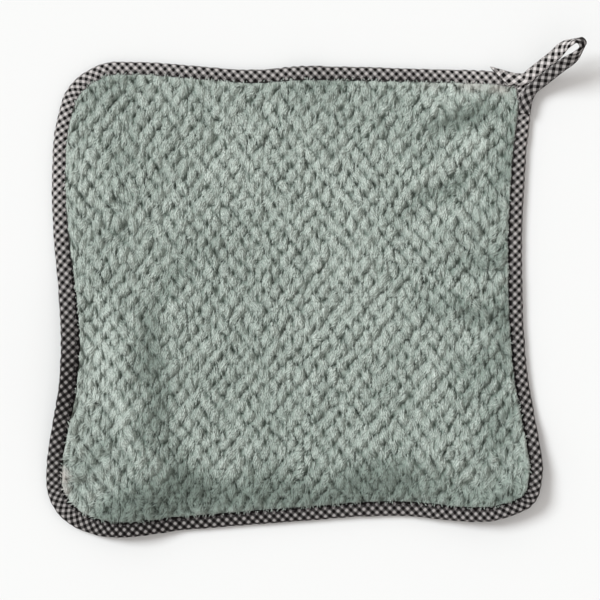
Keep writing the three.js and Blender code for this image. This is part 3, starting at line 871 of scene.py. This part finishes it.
def makeStitches():
    # one row of short stitches on each face of the tape, near its inner edge
    long, half = tape["stitchLong"], tape["threadRadius"]
    count = int(edgeLength / tape["stitchPitch"])
    runs = (np.arange(count) + 0.5) / count * edgeLength
    points, faces = [], []
    rings, sides = 5, 6
    for high in (True, False):
        for run in runs:
            line = stationsAt(run + np.linspace(-long / 2, long / 2, rings))
            inward = line[:, 2] - tape["stitchIn"]
            base = tapeBase(line.T, inward)
            arch = np.sin(np.linspace(0, math.pi, rings))
            top = bindingHeight + 0.02 + 0.2 * arch if high else 0.12 + 0 * arch
            centre = np.column_stack([line[:, :2] + line[:, 3:] * inward[:, None], base + top])
            flat, sunk = (0.8, 0.1) if high else (0.6, 0)
            start = len(points)
            points.append(centre[0] - [0, 0, sunk])
            for ring in range(1, rings - 1):
                for k in range(sides):
                    angle = 2 * math.pi * k / sides
                    side = line[ring, 3:] * math.cos(angle) * half
                    points.append(centre[ring] + [*side, math.sin(angle) * half * flat])
            points.append(centre[-1] - [0, 0, sunk])
            end = len(points) - 1
            for k in range(sides):
                after = (k + 1) % sides
                faces.append((start, start + 1 + after, start + 1 + k))
                for ring in range(rings - 3):
                    a, b = start + 1 + ring * sides + k, start + 1 + ring * sides + after
                    faces += [(a, b, b + sides), (a, b + sides, a + sides)]
                faces.append((end, end - sides + k, end - sides + after))
    return makePiece("binding_stitches", np.array(points), [np.array(faces)], thread)


stitches = makeStitches()
print("binding made")

# The hanging loop runs out from the corner and back
loop = {
    "width": 6.3,
    "thickness": 1.6,
    "corner": (119.5, 113.0),
    "heading": 38,
    "twistAtEye": 90,       # the tape turns on its side by this, in degrees,
    "twistFrom": 19,        # between these distances out from the corner,
    "twistTo": 33,
    "twistAtTip": 74,       # and turns back to this round the tip
    "tipTurnFrom": 32,
    "tipTurnTo": 33.2,
    "cutSlant": 10,         # its first end is cut at a slant to a point
    "cutPoint": 3.4,
    "cutLift": 1.2,
    "cutShare": 0.04,       # of its length
    "thinEnd": 0.45,        # and the other end is thinner
    "sewn": 0.26,           # depth of the groove where its edges are sewn together
    "steps": 260,
    "stretch": 1.22,        # the squares are pulled long on the bias
    "paintedShade": 0.22,            # painted shade on the whole loop
    "farShade": 0.42,         # and more of it on the leg away from the light
    "tipShade": 0.45,         # and across the tip, which turns from the light
}
lapHeight = bindingHeight + cloth["sewnGap"] + loop["thickness"] / 2
# Its height at distances out from the corner, its two ends, and between them distance out and aside
loopRise = [(-60, lapHeight), (-8, lapHeight), (0, lapHeight + 0.15), (5, 7.2), (12, 11.4), (20, 16.8),
            (28, 21.8), (34.3, 25.2), (40, 28.0)]
lapStart = [(109.2, 115.5), (113.6, 115.5)]
lapEnd = [(118.7, 105.2), (117.4, 97.5)]
legs = [(0, 3.25), (6, 3.18), (14, 3.17), (19, 3.22), (23.2, 3.7), (26.5, 3.7), (29.4, 2.9),
        (31.8, 2.1), (33.1, 0.9), (33.1, -0.9), (31.8, -2.2), (29.4, -2.9), (26.5, -3.5),
        (23.2, -3.55), (19, -3.22), (14, -3.17), (6, -3.18), (0, -3.25)]


def makeLoop():
    heading = math.radians(loop["heading"])
    outWay = np.array([math.cos(heading), math.sin(heading), 0])
    sideWay = np.array([-math.sin(heading), math.cos(heading), 0])
    corner = np.array([*loop["corner"], 0.0])
    plan = [(x, y, 0) for x, y in lapStart]
    plan += [corner + outWay * out + sideWay * side for out, side in legs]
    plan += [(x, y, 0) for x, y in lapEnd]
    rise = smoothCurve(loopRise, 50, False)
    line = smoothCurve(plan, 40, False)
    run = runOf(line)
    shares = np.linspace(0, 1, loop["steps"] + 1)
    line = np.stack([np.interp(shares * run[-1], run, line[:, k]) for k in range(3)], axis=1)
    out = (line - corner) @ outWay
    line[:, 2] = np.interp(out, rise[:, 0], rise[:, 1])
    slope = np.arctan(np.interp(out, rise[:, 0], np.gradient(rise[:, 1], rise[:, 0])))
    ahead = np.gradient(line, axis=0)
    ahead /= np.linalg.norm(ahead, axis=1)[:, None]
    normal = -outWay * np.sin(slope)[:, None]
    normal[:, 2] = np.cos(slope)
    outward = np.cross(normal, ahead)
    outward /= np.linalg.norm(outward, axis=1)[:, None]
    up = np.cross(ahead, outward)
    turn = loop["twistAtEye"] * smoothStep(loop["twistFrom"], loop["twistTo"], out)
    turnBack = loop["twistAtEye"] - loop["twistAtTip"]
    turn = -np.radians(turn - turnBack * smoothStep(loop["tipTurnFrom"], loop["tipTurnTo"], out))[:, None]
    across = outward * np.cos(turn) + up * np.sin(turn)
    above = up * np.cos(turn) - outward * np.sin(turn)
    thin = blend(1, loop["thinEnd"], smoothStep(0.93, 1, shares))[:, None]
    halfWidth, halfThick = loop["width"] / 2, loop["thickness"] / 2
    # section of the folded tape, with a groove where its two edges are sewn together
    section = []
    for k in range(9):
        spot = blend(halfWidth - 0.5, -halfWidth + 0.5, k / 8)
        dip = loop["sewn"] * math.exp(-((spot - halfWidth + 1.3) / 0.45) ** 2)
        section.append((spot, halfThick - dip + 0.12 * math.cos(math.pi * spot / loop["width"])))
    near = 0.12 - halfWidth
    section += [(near, 0.45 * halfThick), (-halfWidth, 0), (near, -0.45 * halfThick)]
    section += [(spot, -height) for spot, height in section[8::-1]]
    section += [(halfWidth, -0.5 * halfThick), (halfWidth - 0.35, 0), (halfWidth, 0.5 * halfThick)]
    per = len(section)
    points = np.empty((len(line), per, 3))
    cut = smoothStep(loop["cutShare"], 0, shares)[:, None]
    for k, (spot, height) in enumerate(section):
        points[:, k] = line + across * spot + above * (height * thin - halfThick * (1 - thin))
        outer = (spot + halfWidth) / loop["width"]
        points[:, k] += cut * (-ahead * loop["cutSlant"] * outer + outward * loop["cutPoint"] * outer ** 2)
        points[:, k, 2] += cut[:, 0] * loop["cutLift"] * outer ** 2
    sizes = np.linalg.norm(np.diff(np.array(section), axis=0), axis=1)
    sweep = np.concatenate([[0], np.cumsum(sizes)])
    sweep = np.minimum(sweep, sweep[-1] + 0.5 - sweep)    # both faces count from the sewn edge
    travel = runOf(line) / loop["stretch"]
    outers = np.clip(np.array([(spot + halfWidth) / loop["width"] for spot, _ in section]), 0, 1)
    drawn = cut * outers * loop["cutSlant"] / loop["stretch"]
    # painted shade on the loop, more on the leg away from the light and across the tip
    paintedShade = smoothStep(0.42, 0.6, shares) * loop["farShade"] + smoothStep(30.6, 32.2, out) * loop["tipShade"]
    paintedShades = np.repeat((paintedShade + loop["paintedShade"])[:, None], per, 1)
    lay = np.stack([travel[:, None] - drawn, np.repeat(sweep[None] + 0.6, len(line), 0), paintedShades], axis=2)
    index = np.arange(len(line) * per).reshape(len(line), per)
    walls = tubeFaces(index)[:, [0, 3, 2, 1]]
    first, last = index[0], index[-1]
    caps = [(first[0], first[k + 1], first[k]) for k in range(1, per - 1)]
    caps += [(last[0], last[k], last[k + 1]) for k in range(1, per - 1)]
    faces = [walls, np.array(caps)]
    return makePiece("hanging_tape", points.reshape(-1, 3), faces, gingham, tapeLay=lay.reshape(-1, 3))


hanging = makeLoop()
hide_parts("hanging_loop")
print("loop made")

# Floor, light and camera
studio = {
    "floor": (0.86, 0.86, 0.855, 1),
    "shadowWay": (0.86, -0.52, -1.0),   # how far a shadow falls to the side for each step down
    "floorSize": 6,                     # in metres
    "sun": 2.1,
    "sunColour": (0.985, 1.035, 1.06),
    "sunSize": 26,                      # degrees across, which softens the shadow
    "sky": 0.655,
    "skyColour": (1.0, 0.968, 0.945, 1),
    "cameraHeight": 1.6,                # in metres
    "frameWidth": 0.315,                # how much of the surface the picture takes in
    "sensor": 36,
}


def makeStudio():
    bpy.ops.mesh.primitive_plane_add(size=studio["floorSize"], location=(0, 0, 0))
    floor = bpy.context.object
    floor.name = "floor"
    material, shader, _ = startFinish("pale floor", Roughness=0.9, Specular_IOR_Level=0.1)
    shader.inputs["Base Color"].default_value = studio["floor"]
    floor.data.materials.append(material)
    world = bpy.data.worlds.new("studio")
    world.use_nodes = True
    sky = world.node_tree.nodes["Background"].inputs
    sky["Color"].default_value = studio["skyColour"]
    sky["Strength"].default_value = studio["sky"]
    scene.world = world
    light = bpy.data.lights.new("key", "SUN")
    light.energy = studio["sun"]
    light.color = studio["sunColour"]
    light.angle = math.radians(studio["sunSize"])
    sun = bpy.data.objects.new("key", light)
    sun.rotation_mode = "QUATERNION"
    sun.rotation_quaternion = Vector(studio["shadowWay"]).to_track_quat("-Z", "Y")
    scene.collection.objects.link(sun)
    view = bpy.data.cameras.new("camera")
    view.sensor_width = studio["sensor"]
    view.lens = studio["sensor"] * studio["cameraHeight"] / studio["frameWidth"]
    camera = bpy.data.objects.new("camera", view)
    camera.location = (0, 0, studio["cameraHeight"])
    scene.collection.objects.link(camera)
    scene.camera = camera
    scene.view_settings.view_transform = "Standard"


makeStudio()
print("studio made")
